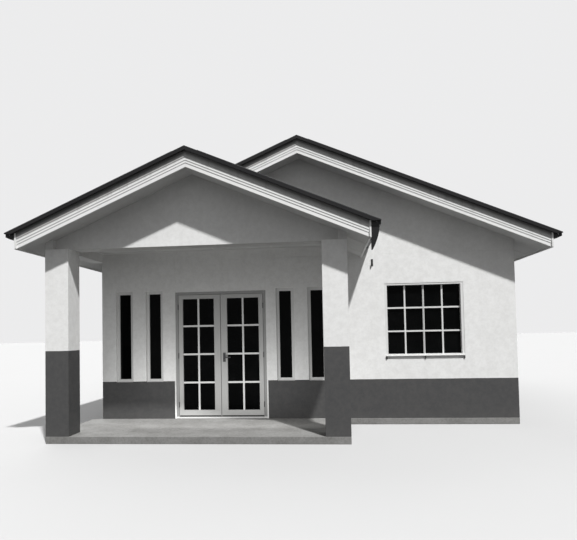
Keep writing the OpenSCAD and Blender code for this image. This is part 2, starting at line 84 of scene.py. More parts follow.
# %% Camera at the photograph's viewpoint
PHOTO_W = 577
SENSOR_MM = 36
FOCAL_PX = 519.378
SHIFT_PX = (14.763, 44.036)
camera_at = (0.36406, front_y - 8.48527, floor_z + 1.39135)
yaw, pitch_up, roll = 0.09593, 0.03638, -0.01902
forward = Vector((-math.sin(yaw) * math.cos(pitch_up), math.cos(yaw) * math.cos(pitch_up),
                  math.sin(pitch_up)))
level = Vector((math.cos(yaw), math.sin(yaw), 0))
square_up = level.cross(forward)
right = math.cos(roll) * level + math.sin(roll) * square_up
up = math.cos(roll) * square_up - math.sin(roll) * level

camera_data = bpy.data.cameras.new("photo_camera")
camera_data.sensor_width = SENSOR_MM
camera_data.lens = FOCAL_PX / PHOTO_W * SENSOR_MM
camera_data.shift_x, camera_data.shift_y = (shift / PHOTO_W for shift in SHIFT_PX)
camera_data.clip_end = 500
camera = bpy.data.objects.new("photo_camera", camera_data)
bpy.context.scene.collection.objects.link(camera)
turn = Matrix((right, up, -forward)).transposed().to_4x4()
camera.matrix_world = Matrix.Translation(camera_at) @ turn
bpy.context.scene.camera = camera
bpy.context.scene.view_settings.view_transform = "Standard"
print("lens", round(camera_data.lens, 2), "mm at", [round(v, 3) for v in camera.location])

# %% [markdown]
# ## Shader maths in Python
# A material is a graph of nodes. Every node comes from one function, which takes its type,
# its settings and what goes into its sockets. Writing `1 - mask * 0.5` is easier to read
# than placing Math nodes by hand, so a small class wraps a node's output and adds a Math
# node for each operator.


# %% Nodes
def add_node(tree, kind, settings=None, out=0, **sockets):
    """Adds a node; a socket is named by its name, or by i and its number."""
    node = tree.nodes.new(kind)
    for key, value in (settings or {}).items():
        if key == "stops":
            for element, (position, grey) in zip(node.color_ramp.elements, value):
                element.position, element.color = position, (grey, grey, grey, 1)
        else:
            setattr(node, key, value)
    for key, value in sockets.items():
        slot = node.inputs[int(key[1:]) if key[1:].isdigit() else key.replace("_", " ")]
        if isinstance(value, Value):
            tree.links.new(value.socket, slot)
        else:
            slot.default_value = value
    return Value(tree, node.outputs[out]) if node.outputs else None


print("one function for every node")


# %% Socket arithmetic
class Value:
    """A node's output that Python's operators can work on."""

    def __init__(self, tree, socket):
        self.tree, self.socket = tree, socket

    def maths(self, operation, *terms, clamp=False):
        return add_node(self.tree, "ShaderNodeMath",
                        {"operation": operation, "use_clamp": clamp},
                        **{"i%d" % n: term for n, term in enumerate(terms)})

    def __add__(self, other): return self.maths("ADD", self, other)
    def __radd__(self, other): return self.maths("ADD", other, self)
    def __sub__(self, other): return self.maths("SUBTRACT", self, other)
    def __rsub__(self, other): return self.maths("SUBTRACT", other, self)
    def __mul__(self, other): return self.maths("MULTIPLY", self, other)
    def __rmul__(self, other): return self.maths("MULTIPLY", other, self)
    def __truediv__(self, other): return self.maths("DIVIDE", self, other)
    def __rtruediv__(self, other): return self.maths("DIVIDE", other, self)
    def __pow__(self, other): return self.maths("POWER", self, other)
    def __rpow__(self, other): return self.maths("POWER", other, self)
    def __abs__(self): return self.maths("ABSOLUTE", self)
    def above(self, limit): return self.maths("GREATER_THAN", self, limit)
    def below(self, limit): return self.maths("LESS_THAN", self, limit)
    def clamped(self): return self.maths("ADD", self, 0.0, clamp=True)
    def larger(self, other): return self.maths("MAXIMUM", self, other)
    def fraction(self): return self.maths("FRACT", self)


print("socket arithmetic ready")

# %% [markdown]
# ## One builder for every material
# A finish starts from the Principled shader. Numbers that are the same all over the surface
# are set on its sockets, and `feed` links what varies. Short methods give the noise, ramps,
# mixes and bumps that most finishes need. Object coordinates place the patterns, so they
# are true to scale in metres and stay put when a door swings.


# %% Material builder
class Finish:
    """Builds one material around a Principled shader."""

    def __init__(self, name, **constants):
        self.material = bpy.data.materials.new(name)
        self.material.use_nodes = True
        self.tree = self.material.node_tree
        self.shader = self.tree.nodes["Principled BSDF"]
        for socket, value in constants.items():
            self.shader.inputs[socket.replace("_", " ")].default_value = value
        self.place = self.node("ShaderNodeTexCoord", out="Object")
        split = self.node("ShaderNodeSeparateXYZ", Vector=self.place)
        self.x, self.y, self.z = (Value(self.tree, o) for o in split.socket.node.outputs)

    def node(self, kind, settings=None, out=0, **sockets):
        return add_node(self.tree, kind, settings, out, **sockets)

    def scaled(self, x, y, z):
        return self.node("ShaderNodeVectorMath", {"operation": "MULTIPLY"},
                         i0=self.place, i1=(x, y, z))

    def noise(self, scale, detail=3.0, rough=0.55, at=None):
        return self.node("ShaderNodeTexNoise", out="Fac", Vector=at or self.place,
                         Scale=scale, Detail=detail, Roughness=rough)

    def ramp(self, value, low, high):
        """Spreads a value so that low becomes 0 and high becomes 1."""
        return self.node("ShaderNodeValToRGB", {"stops": ((low, 0.0), (high, 1.0))}, Fac=value)

    def mix(self, factor, first, second):
        def colour(c):
            return c if isinstance(c, Value) else (*c, 1.0)
        return self.node("ShaderNodeMix", {"data_type": "RGBA"}, out=2,
                         i0=factor, i6=colour(first), i7=colour(second))

    def feed(self, **sockets):
        for key, value in sockets.items():
            self.tree.links.new(value.socket, self.shader.inputs[key.replace("_", " ")])

    def bump(self, height, distance, strength=1.0):
        normal = self.node("ShaderNodeBump", Height=height, Distance=distance,
                           Strength=strength)
        self.feed(Normal=normal)


print("material builder ready")

# %% [markdown]
# ## Painted render
# The walls are plastered with cement render and painted white, with a dark band at the
# foot that takes the splashes. The band's edge is a painted line, so it belongs in the
# material and not in the mesh. It wavers by a millimetre or two, as a brushed line does.
# A fine grain, a mottle and long soft waves keep the plaster from looking like plastic.
# Under the roof's slopes the walls lie in shade, and the paint there is darkened as painted
# shade.

# %% Colours of the walls
WALL_WHITE = (0.83, 0.83, 0.82)
WASHED_GREY = (0.60, 0.595, 0.58)
# Grey of the painted shade under the roof's slopes.
EAVE_SHADE_GREY = (0.40, 0.395, 0.385)
BAND_GREY = (0.042, 0.042, 0.043)
BAND_FADED = (0.066, 0.065, 0.063)
BAND_DUST = (0.16, 0.155, 0.145)
BAND_TOP = floor_z + 0.62
COLUMN_BAND_TOP = floor_z + 1.195
print("bands up to", round(BAND_TOP, 3), "and", round(COLUMN_BAND_TOP, 3))


# %% Painted render
def painted_render(name, band_top, ridge, door_gap=False):
    """Wall paint; ridge is the x and z where the slopes over the wall meet."""
    f = Finish(name, Specular_IOR_Level=0.45)
    waver = f.noise(9.0, 2.0) * 0.006 - 0.003
    band = (f.z + waver).below(band_top)
    if band_top == BAND_TOP:
        outside = abs(f.x).above(half_w - 0.02).larger(abs(f.y).above(rear_y - 0.02))
        band = band * outside
    if door_gap:
        middle, half = (door_low.x + door_high.x) / 2, (door_high.x - door_low.x) / 2
        band = band * abs(f.x - middle + waver).above(half + 0.022)
    patch = f.ramp(f.noise(1.3, 5.0, 0.62), 0.3, 0.75)
    streak = f.ramp(f.noise(6.0, 4.0, 0.6, at=f.scaled(1, 1, 0.06)), 0.48, 0.8)
    mottle = f.ramp(f.noise(13.0, 6.0, 0.7), 0.38, 0.62)
    foot = (1 - (f.z - floor_z) / 0.30).clamped() * f.noise(14.0, 4.0, 0.65)
    white = f.mix(patch * 0.13 + streak * 0.13 + mottle * 0.30, WALL_WHITE, WASHED_GREY)
    # Painted shade: the paint darkens within 0.75 m under the roof's slopes.
    depth = ridge[1] - abs(f.x - ridge[0]) * fall - f.z
    eave_shade = (1 - depth / 0.75).clamped()
    # On the porch only the gable panel gets the painted shade, with a thin dark line of painted
    # shade along its lower edge.
    if band_top == COLUMN_BAND_TOP:
        eave_shade = (eave_shade * f.z.above(gable_low.z)).larger(abs(f.z - gable_low.z).below(0.002))
    white = f.mix(eave_shade * (0.42 + patch * 0.1), white, EAVE_SHADE_GREY)
    dark = f.mix(patch * 0.2 + streak * 0.1 + mottle * 0.5, BAND_GREY, BAND_FADED)
    dusty = f.mix(foot * foot * 0.3, dark, BAND_DUST)
    f.feed(Base_Color=f.mix(band, white, dusty))
    f.feed(Roughness=0.62 - band * 0.14 + patch * 0.10 + foot * 0.15)
    grain = f.noise(420.0, 2.0, 0.6) * 0.30 + f.noise(60.0, 3.0, 0.5) * 0.35
    f.bump(grain + f.noise(2.2, 2.0) * 2.2, 0.004, 0.55)
    return f.material


MAIN_RIDGE, PORCH_RIDGE = (0, ridge_z), (ridge_x, porch_ridge_z)
front_paint = painted_render("front_wall_paint", BAND_TOP, MAIN_RIDGE, door_gap=True)
wall_paint = painted_render("wall_paint", BAND_TOP, MAIN_RIDGE)
column_paint = painted_render("column_paint", COLUMN_BAND_TOP, PORCH_RIDGE)
print("render paints", front_paint.name, wall_paint.name, column_paint.name)

# %% [markdown]
# ## Painted boards
# Barge boards, fascias, soffits and ceilings are white too, with a smoother oil paint. Thin
# brush lines run along the boards, rain leaves grey streaks, and dust dulls them in patches.
# Under the edge of the sheet the barge boards lie in its shade. This is painted shade: they
# go nearly black towards the top, by height above their lower edge.

# %% Painted boards
# Painted shade under the sheet's lip: where it starts above the boards' lower edge, and over
# what height it deepens.
LIP_SHADE_FROM, LIP_SHADE_DEEP = 0.098, 0.085


def painted_board(name, colour, grime, roughness, along, ridge=None):
    """Board paint; ridge is the x and z of the boards' lower edge where they meet."""
    f = Finish(name, Specular_IOR_Level=0.45)
    brush = f.noise(55.0, 3.0, 0.6, at=f.scaled(*along))
    patch = f.ramp(f.noise(1.7, 5.0, 0.6), 0.35, 0.8)
    drip = f.ramp(f.noise(11.0, 3.0, 0.6, at=f.scaled(1, 1, 0.12)), 0.5, 0.85)
    paint = f.mix(patch * grime + drip * grime * 0.8 + brush * 0.03, colour,
                  tuple(c * 0.55 for c in colour))
    # Painted shade: the boards' top under the lip of the sheet goes nearly black, by height.
    if ridge:
        height = f.z + abs(f.x - ridge[0]) * fall - ridge[1]
        lip_shade = ((height + (drip - 0.5) * 0.02 - LIP_SHADE_FROM) / LIP_SHADE_DEEP).clamped() ** 0.75
        paint = f.mix(lip_shade * 0.92, paint, (0.035, 0.034, 0.032))
    f.feed(Base_Color=paint)
    f.feed(Roughness=roughness + patch * 0.15 + brush * 0.08)
    f.bump(brush + f.noise(180.0, 2.0) * 0.3, 0.0012, 0.5)
    return f.material


BARGE = (0.84, 0.84, 0.83), 0.16, 0.40, (0.05, 1, 0.12)
barge_paint = painted_board("barge_paint", *BARGE, ridge=MAIN_RIDGE)
porch_barge_paint = painted_board("porch_barge_paint", *BARGE, ridge=PORCH_RIDGE)
fascia_paint = painted_board("fascia_paint", (0.80, 0.80, 0.79), 0.2, 0.42, (1, 0.04, 1))
soffit_paint = painted_board("soffit_paint", (0.66, 0.66, 0.65), 0.2, 0.55, (1, 0.05, 1))
ceiling_paint = painted_board("ceiling_paint", (0.74, 0.74, 0.73), 0.08, 0.6, (0.2, 1, 1))
print("board paints", barge_paint.name, porch_barge_paint.name, fascia_paint.name,
      soffit_paint.name, ceiling_paint.name)

# %% [markdown]
# ## Roof metal
# The roof is dark coated steel sheet. Its coat has a soft gloss, dust settles on it in
# clouds and specks, and rain draws it down the slope in long lines.


# %% Roof metal
def roof_metal(name, colour, dust):
    f = Finish(name, Specular_IOR_Level=0.16)
    down = f.noise(7.0, 5.0, 0.62, at=f.scaled(0.10, 1, 0.10))
    lines = f.ramp(down, 0.42, 0.78)
    cloud = f.ramp(f.noise(0.9, 5.0, 0.6), 0.35, 0.75)
    speck = f.ramp(f.noise(95.0, 2.0, 0.5), 0.68, 0.74)
    mask = (lines * 0.55 + cloud * 0.45) * dust
    coat = f.mix(mask, colour, (0.075, 0.073, 0.069))
    f.feed(Base_Color=f.mix(speck * 0.35 * dust, coat, (0.12, 0.115, 0.10)))
    f.feed(Roughness=0.42 + mask * 0.4 + speck * 0.1)
    f.bump(f.noise(3.0, 2.0) * 1.5 + f.noise(160.0, 2.0) * 0.2, 0.003, 0.35)
    return f.material


sheet_metal = roof_metal("sheet_metal", (0.022, 0.022, 0.024), 0.5)
trim_metal = roof_metal("trim_metal", (0.010, 0.010, 0.011), 0.15)
# A lighter copy of the trim metal for the rolled edges: a painted highlight along the roll.
glint_edge_metal = roof_metal("glint_edge_metal", (0.055, 0.055, 0.057), 0.3)
print("roof metals", sheet_metal.name, trim_metal.name, glint_edge_metal.name)

# %% [markdown]
# ## Doors and window frames
# The leaves and frames are painted in light greys. The door frame, in the porch's shade, is
# darker: its grey is partly painted shade. Hands darken the paint round the lever, and the
# threshold at the floor is a bright strip. Wear is a mask by distance from the lever or by
# height over the floor, which no picture has to be painted for.

# %% Door and frame paint
THRESHOLD_TOP = floor_z + 0.027


def joinery_paint(name, colour, hands=None, threshold=False, glazed=()):
    """Frame paint; glazed are boxes in x and z whose bars are painted lighter."""
    f = Finish(name, Specular_IOR_Level=0.5)
    grain = f.noise(38.0, 4.0, 0.6, at=f.scaled(1, 1, 0.06))
    patch = f.ramp(f.noise(3.0, 4.0, 0.6), 0.4, 0.8)
    foot = (1 - (f.z - floor_z - 0.03) / 0.22).clamped() * f.noise(25.0, 3.0)
    shade = patch * 0.12 + grain * 0.06 + foot * 0.45
    if hands:
        reach = f.node("ShaderNodeVectorMath", {"operation": "DISTANCE"}, out=1,
                       i0=f.place, i1=hands)
        shade = shade + (1 - reach / 0.22).clamped() * 0.22
    paint = f.mix(shade.clamped(), colour, tuple(c * 0.6 for c in colour))
    for low, high in glazed:
        across = abs(f.x - (low.x + high.x) / 2).below((high.x - low.x) / 2)
        upright = abs(f.z - (low.z + high.z) / 2).below((high.z - low.z) / 2)
        paint = f.mix(across * upright * 0.85, paint, (0.80, 0.80, 0.79))
    if threshold:
        paint = f.mix(f.z.below(THRESHOLD_TOP), paint, (0.88, 0.88, 0.87))
    f.feed(Base_Color=paint)
    f.feed(Roughness=0.38 + patch * 0.12 + foot * 0.2)
    f.bump(grain + f.noise(220.0, 2.0) * 0.25, 0.0008, 0.5)
    return f.material


handle_low, handle_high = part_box("door_handle")
handle_at = tuple((handle_low + handle_high) / 2)
leaf_panes = [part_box("door_glass_left"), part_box("door_glass_right")]
leaf_paint = joinery_paint("leaf_paint", (0.45, 0.45, 0.44), hands=handle_at,
                           glazed=leaf_panes)
# The door frame's darker grey is partly painted shade of the porch.
shaded_door_frame_paint = joinery_paint("shaded_door_frame_paint", (0.29, 0.29, 0.285), threshold=True)
window_paint = joinery_paint("window_paint", (0.70, 0.70, 0.69))
slit_paint = joinery_paint("slit_paint", (0.66, 0.66, 0.65))
print("joinery paints", leaf_paint.name, shaded_door_frame_paint.name, window_paint.name,
      slit_paint.name)

# %% [markdown]
# ## Glass
# Behind the glass the rooms are dark, so by day the panes look black. A dark, slightly
# see-through pane with a sharp but faint gloss does this. Shallow waves bend what it
# mirrors, and a film of dust dulls it.

# %% Glass
f = Finish("dark_glass", Specular_IOR_Level=0.035, IOR=1.45, Alpha=0.985)
film = f.ramp(f.noise(4.0, 4.0, 0.6), 0.45, 0.85)
f.feed(Base_Color=f.mix(film * 0.5, (0.0012, 0.0014, 0.0015), (0.007, 0.007, 0.007)))
f.feed(Roughness=0.03 + film * 0.09)
f.bump(f.noise(1.6, 1.0), 0.004, 0.25)
glass = f.material
print("glass", glass.name)

# %% [markdown]
# ## Concrete and tiles
# The floors are trowelled concrete with stains. Indoors they are tiled, which shows only
# when a door stands open. The tiles' joints come from the fraction of x and y, so one
# material covers both floors.

# %% Concrete floors
f = Finish("floor_concrete", Specular_IOR_Level=0.4)
stain = f.ramp(f.noise(2.3, 7.0, 0.68), 0.38, 0.66)
sweep = f.noise(16.0, 4.0, 0.65, at=f.scaled(0.25, 1, 1))
pores = f.ramp(f.noise(140.0, 2.0, 0.5), 0.60, 0.72)
speckle = f.ramp(f.noise(34.0, 6.0, 0.75), 0.44, 0.62)
bare = f.mix(stain * 0.45 + sweep * 0.2 + speckle * 0.35, (0.27, 0.268, 0.26),
             (0.125, 0.123, 0.116))
bare = f.mix(pores * 0.35, bare, (0.11, 0.107, 0.102))
TILE, JOINT_AT = 0.40, 0.4935
across, along = (abs((way / TILE).fraction() - 0.5) for way in (f.x, f.y))
joint = across.larger(along).above(JOINT_AT)
tile = f.mix(f.noise(5.0, 4.0) * 0.5, (0.62, 0.61, 0.59), (0.52, 0.51, 0.49))
tile = f.mix(joint, tile, (0.30, 0.29, 0.28))
indoors = (abs(f.x).below(half_w - 0.1) * abs(f.y).below(rear_y - 0.1)
           * f.z.above(floor_z - 0.001))
f.feed(Base_Color=f.mix(indoors, bare, tile))
f.feed(Roughness=0.72 + sweep * 0.2 - indoors * 0.5)
f.bump((1 - indoors) * (sweep + pores * 0.6) - indoors * joint, 0.0015, 0.6)
concrete = f.material
print("concrete", concrete.name)

# %% [markdown]
# ## Timber, metals, plastic and rubber
# The rafters are sawn timber under the roof. The lever and the hinges are brushed steel, and
# the screws are dull zinc. Small blocks and the wall fitting are black plastic, and rubber
# has a chalky bloom. Noise that is stretched along one axis gives grain and brush lines.

# %% Sawn timber
f = Finish("sawn_timber", Specular_IOR_Level=0.3)
rings = f.noise(24.0, 5.0, 0.65, at=f.scaled(0.06, 1, 0.5))
f.feed(Base_Color=f.mix(f.ramp(rings, 0.35, 0.7), (0.42, 0.34, 0.24),
                        (0.25, 0.19, 0.13)))
f.feed(Roughness=0.75 + rings * 0.2)
f.bump(rings, 0.002, 0.6)
timber = f.material
print("timber", timber.name)

# %% Steel and zinc
f = Finish("brushed_steel", Metallic=1.0)
brush = f.noise(240.0, 2.0, 0.5, at=f.scaled(1, 1, 0.03))
spots = f.ramp(f.noise(60.0, 4.0, 0.6), 0.55, 0.75)
f.feed(Base_Color=f.mix(spots * 0.7, (0.075, 0.075, 0.078), (0.035, 0.03, 0.028)))
f.feed(Roughness=0.32 + brush * 0.12 + spots * 0.25)
f.bump(brush, 0.0002, 0.4)
steel = f.material

f = Finish("zinc_screw", Metallic=0.9)
age = f.noise(300.0, 3.0)
f.feed(Base_Color=f.mix(age, (0.20, 0.20, 0.20), (0.09, 0.085, 0.08)))
f.feed(Roughness=0.42 + age * 0.25)
zinc = f.material
print("metals", steel.name, zinc.name)

# %% Plastic and rubber
f = Finish("black_plastic", Specular_IOR_Level=0.5)
wear = f.noise(120.0, 3.0)
f.feed(Base_Color=f.mix(wear, (0.010, 0.010, 0.010), (0.030, 0.030, 0.030)))
f.feed(Roughness=0.35 + wear * 0.25)
f.bump(wear, 0.0004, 0.5)
black_plastic = f.material

f = Finish("black_rubber", Specular_IOR_Level=0.25)
chalk = f.ramp(f.noise(45.0, 4.0, 0.6), 0.45, 0.85)
f.feed(Base_Color=f.mix(chalk * 0.6, (0.006, 0.006, 0.006), (0.022, 0.022, 0.021)))
f.feed(Roughness=0.65 + chalk * 0.25)
f.bump(chalk, 0.0003, 0.4)
black_rubber = f.material
print("dark trim", black_plastic.name, black_rubber.name)

# %% [markdown]
# ## Dressing the CAD nodes
# Each node's material slot gets its new finish. Real edges are never razor sharp, so a
# Bevel modifier rounds them by a few millimetres and lets them catch the light. The packed
# mesh has its corners split by face, so a Weld modifier joins them first.

# %% Assign the finishes
FINISHES = {
    front_paint: ["front_wall_left", "front_wall_right", "front_wall_over_door"],
    wall_paint: ["front_gable_wall", "left_wall", "right_wall", "rear_wall"],
    column_paint: ["porch_column_left", "porch_column_right", "porch_gable_wall",
                   "porch_side_beams"],
    barge_paint: ["front_barge_boards", "rear_barge_boards"],
    porch_barge_paint: ["porch_barge_boards"],
    fascia_paint: ["eave_fascias"],
    soffit_paint: ["eave_soffits", "verge_soffits", "porch_ceiling"],
    ceiling_paint: ["house_ceiling"],
    sheet_metal: ["main_roof_sheet_left", "main_roof_sheet_right", "porch_roof_sheet_left",
                  "porch_roof_sheet_right"],
    trim_metal: ["ridge_caps", "verge_flashings", "gutters"],
    leaf_paint: ["door_leaf_left", "door_leaf_right"],
    shaded_door_frame_paint: ["door_frame"],
    slit_paint: ["sidelight_frames"],
    window_paint: ["front_window_frame", "other_window_frames"],
    glass: ["door_glass_left", "door_glass_right", "sidelight_glass",
            "front_window_glass", "other_window_glass"],
    concrete: ["house_slab", "porch_slab"],
    timber: ["main_rafters", "porch_rafters"],
    steel: ["door_handle", "frame_hinges", "leaf_hinges_left", "leaf_hinges_right"],
}
for finish, names in FINISHES.items():
    for name in names:
        nodes[name].data.materials.clear()
        nodes[name].data.materials.append(finish)
undressed = set(nodes) - {n for names in FINISHES.values() for n in names}
print("dressed", len(nodes) - len(undressed), "left", sorted(undressed))

# %% Soften the edges
EDGE_ROUND = {
    0.006: ["house_slab", "porch_slab"],
    0.004: ["front_wall_left", "front_wall_right", "left_wall", "right_wall", "rear_wall",
            "porch_column_left", "porch_column_right", "porch_gable_wall"],
    0.0015: ["front_barge_boards", "rear_barge_boards", "porch_barge_boards",
             "eave_fascias", "door_frame", "door_leaf_left", "door_leaf_right",
             "front_window_frame", "other_window_frames", "sidelight_frames",
             "door_handle"],
}
for width, names in EDGE_ROUND.items():
    for name in names:
        weld = nodes[name].modifiers.new("weld", "WELD")
        weld.merge_threshold = 0.00005
        bevel = nodes[name].modifiers.new("edge", "BEVEL")
        bevel.width, bevel.segments = width, 2
        bevel.limit_method, bevel.angle_limit = "ANGLE", math.radians(35)
print("rounded", sum(len(n) for n in EDGE_ROUND.values()), "nodes")

# %% [markdown]
# ## Small pieces from mesh code
# Screws, straps and beads are built as meshes from lists of points. One helper makes the
# object, gives it its finish and makes it ride on a CAD body. A second one makes bars with
# rounded edges, many of them in one mesh. A hair's gap keeps two faces from lying in one
# plane, where they would flicker.

# %% Mesh helpers
HAIR = 0.0002


def piece(name, verts, faces, finish, body="house", slot=None, smooth=False):
    mesh = bpy.data.meshes.new(name)
    mesh.from_pydata([tuple(v) for v in verts], [], faces)
    mesh.update()
    mesh.materials.append(finish)
    if smooth:
        mesh.polygons.foreach_set("use_smooth", [True] * len(mesh.polygons))
    thing = bpy.data.objects.new(name, mesh)
    bpy.context.scene.collection.objects.link(thing)
    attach(thing, body)
    print(name, len(mesh.polygons), "faces")
    return thing


def bars(name, boxes, finish, round_by=0.001, **options):
    """One mesh of many bars, each from its low and high corner, with rounded edges."""
    build = bmesh.new()
    for low, high in boxes:
        made = bmesh.ops.create_cube(build, size=1)["verts"]
        middle = [(a + b) / 2 for a, b in zip(low, high)]
        size = [abs(b - a) for a, b in zip(low, high)]
        for vert in made:
            vert.co = Vector(c * s + m for c, s, m in zip(vert.co, size, middle))
    bmesh.ops.bevel(build, geom=build.edges[:], offset=round_by, segments=2,
                    affect="EDGES", profile=0.5)
    build.verts.index_update()
    verts = [v.co.copy() for v in build.verts]
    faces = [[v.index for v in face.verts] for face in build.faces]
    build.free()
    return piece(name, verts, faces, finish, **options)


print("mesh helpers ready")

# %% [markdown]
# ## Roof screws and fillers
# Sheet roofs are fixed through the tops of their ribs, with hexagonal screws in straight
# rows over the battens. Each screw is a small shape turned with six sides: a flange, a
# collar and a head with a chamfered top. Under the ridge caps a dark filler closes each pan
# between two ribs and keeps rain and birds out.


# %% Points and turned shapes on a slope
def slope_point(x0, z0, side, down, y, height):
    """A point on a roof slope: down from the ridge, and height square to the sheet."""
    x = down * math.cos(PITCH) + height * math.sin(PITCH)
    z = z0 - down * math.sin(PITCH) + height * math.cos(PITCH)
    return Vector((x0 + side * x, y, z))


def square_out(side):
    """The direction straight out of a slope."""
    return side * math.sin(PITCH), 0, math.cos(PITCH)


def ring_faces(start, rings, sides):
    """Faces between rings of points; start is the first point's number."""
    faces = []
    for first in range(start, start + (rings - 1) * sides, sides):
        for k in range(sides):
            a, b = first + k, first + (k + 1) % sides
            faces.append([a, b, b + sides, a + sides])
    return faces


def turned(places, profile, sides):
    """Turned shapes; each place is a base point and its outward direction."""
    verts, faces = [], []
    for base, out in places:
        out = Vector(out).normalized()
        across = Vector((0, 1, 0)) if abs(out.y) < 0.9 else Vector((1, 0, 0))
        third = out.cross(across)
        start = len(verts)
        for radius, lift in profile:
            for k in range(sides):
                a = 2 * math.pi * k / sides
                verts.append(Vector(base) + out * lift
                             + (across * math.cos(a) + third * math.sin(a)) * radius)
        faces += ring_faces(start, len(profile), sides)
        faces.append([start + (len(profile) - 1) * sides + k for k in range(sides)])
    return verts, faces


print("points and turned shapes ready")


# %% Roof screws
def ribs_between(y0, y1, pitch=0.2, foot=0.06):
    """The middle of every rib on a sheet that runs from y0 to y1."""
    count = math.floor((y1 - y0 - foot) / pitch + 1e-6)
    first = y0 + (y1 - y0 - count * pitch) / 2
    return [first + n * pitch for n in range(count + 1)]


HEX_HEAD = [(0.0095, 0.0), (0.0095, 0.0016), (0.0062, 0.0024), (0.0055, 0.0024),
            (0.0055, 0.0072), (0.0044, 0.0082)]
RIB_TOP = 0.033
ROOF_PARTS = {
    "main_roof_sheet_left": (-1, [0.32, 1.25, 2.2, 3.15, 4.02]),
    "main_roof_sheet_right": (1, [0.32, 1.25, 2.2, 3.15, 4.02]),
    "porch_roof_sheet_left": (-1, [0.32, 1.4, 2.48]),
    "porch_roof_sheet_right": (1, [0.32, 1.4, 2.54]),
}
main_barge_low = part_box("front_barge_boards")[0]
slopes = []
for name, (side, rows) in ROOF_PARTS.items():
    low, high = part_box(name)
    porch = name.startswith("porch")
    x0 = ridge_x if porch else 0.0
    z0 = high.z - RIB_TOP * math.cos(PITCH)
    ribs = ribs_between(low.y, high.y)
    slopes.append((x0, z0, side, ribs, porch))
    places = [(slope_point(x0, z0, side, down, y, RIB_TOP + HAIR), square_out(side))
              for y in ribs for down in rows
              if not (porch and y > main_barge_low.y - 0.03)]
    piece("screws_" + name, *turned(places, HEX_HEAD, 6), zinc, slot="steel")

# %% Ridge fillers
FILLER_DOWN = (0.135, 0.158)
PAN, TOP = (0.031, 0.0035), (0.016, 0.0335)
SIX_SIDES = ((0, 1, 2, 3), (7, 6, 5, 4), (0, 4, 5, 1), (1, 5, 6, 2), (2, 6, 7, 3),
             (3, 7, 4, 0))
verts, faces = [], []
for x0, z0, side, ribs, porch in slopes:
    for near, far in zip(ribs, ribs[1:]):
        if not (porch and far > main_barge_low.y):
            faces += [[len(verts) + k for k in face] for face in SIX_SIDES]
            verts += [slope_point(x0, z0, side, down, y, up)
                      for down in FILLER_DOWN
                      for y, up in ((near + PAN[0], PAN[1]), (far - PAN[0], PAN[1]),
                                    (far - TOP[0], TOP[1]), (near + TOP[0], TOP[1]))]
piece("ridge_fillers", verts, faces, trim_metal, slot="roof_metal")

# %% [markdown]
# ## Prisms and rods for trim
# Most trim on a roof either has one outline all along Y, or follows the slope. A prism
# pulls an outline drawn in X and Z along Y. A rod is a round bar along a line of points,
# with its section moved straight up and down, so that its ends stand upright.


# %% Prisms
def prisms(name, outlines, finish, **options):
    """One mesh of many prisms; each is a list of (x, z) and its two ends in Y."""
    verts, faces = [], []
    for outline, y0, y1 in outlines:
        start, count = len(verts), len(outline)
        verts += [(x, y, z) for y in (y0, y1) for x, z in outline]
        faces += [[start + k for k in range(count)],
                  [start + count + k for k in reversed(range(count))]]
        faces += [[start + k, start + count + k, start + count + (k + 1) % count,
                   start + (k + 1) % count] for k in range(count)]
    made = piece(name, verts, faces, finish, **options)
    build = bmesh.new()
    build.from_mesh(made.data)
    bmesh.ops.recalc_face_normals(build, faces=build.faces[:])
    build.to_mesh(made.data)
    build.free()
    return made


print("prisms ready")


# %% Rods
def rods(name, lines, radius, finish, sides=10, **options):
    """Round bars; each line is its Y and its list of (x, z) points."""
    verts, faces = [], []
    for y, points in lines:
        start = len(verts)
        for x, z in points:
            for k in range(sides):
                a = 2 * math.pi * k / sides
                verts.append((x, y + radius * math.cos(a),
                              z + radius * math.sin(a) / math.cos(PITCH)))
        faces += ring_faces(start, len(points), sides)
        last = start + (len(points) - 1) * sides
        faces += [[start + k for k in reversed(range(sides))],
                  [last + k for k in range(sides)]]
    return piece(name, verts, faces, finish, smooth=True, **options)


print("rods ready")


# %% Edges of the roof
def line_z(x, porch=False):
    """Height of the barge boards' lower edge at x."""
    return (porch_ridge_z - fall * abs(x - ridge_x)) if porch else ridge_z - fall * abs(x)


flashing_low, flashing_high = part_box("verge_flashings")
gutter_low, gutter_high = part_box("gutters")
cap_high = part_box("ridge_caps")[1]
FLASH_TOP = flashing_high.z - ridge_z
main_edge_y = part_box("main_roof_sheet_right")[0].y - 0.004
print("flashing top", round(FLASH_TOP, 4), "front edges", round(flashing_low.y, 3),
      round(main_edge_y, 3))

# %% [markdown]
# ## Folded edge of the flashings
# The dark flashing is a thin sheet, and its upper edge is rolled so that it stays straight
# and doesn't cut a hand. The roll catches the sun as a thin bright line, and its metal is
# painted lighter than the flashing's, a painted highlight along that line. It stops at the
# ridge caps, which lie over it.

# %% Rolled edges
ROLL = 0.0065
CAP_HALF = 0.172
tip_x = flashing_high.x - 0.004


def rolled(x_from, x_to, y, porch=False):
    lift = FLASH_TOP + ROLL * 0.55
    return y, [(x, line_z(x, porch) + lift) for x in (x_from, x_to)]


meeting_x = ridge_x + 0.02
porch_tip = porch_reach + (tip_x - eave_x)
rods("flashing_rolls", [
    rolled(-tip_x, ridge_x - CAP_HALF, flashing_low.y + ROLL, porch=True),
    rolled(ridge_x + CAP_HALF, ridge_x + porch_tip, flashing_low.y + ROLL, porch=True),
    rolled(meeting_x, -CAP_HALF, main_edge_y + ROLL),
    rolled(CAP_HALF, tip_x, main_edge_y + ROLL),
    rolled(-tip_x, -CAP_HALF, flashing_high.y - ROLL),
    rolled(CAP_HALF, tip_x, flashing_high.y - ROLL),
], ROLL, glint_edge_metal, slot="roof_metal")

# %% [markdown]
# ## Screws of the ridge caps
# The caps' flanges are screwed down close to their edges, about every 0.4 m. The first and
# the last screw stay a hand's width from the caps' ends.

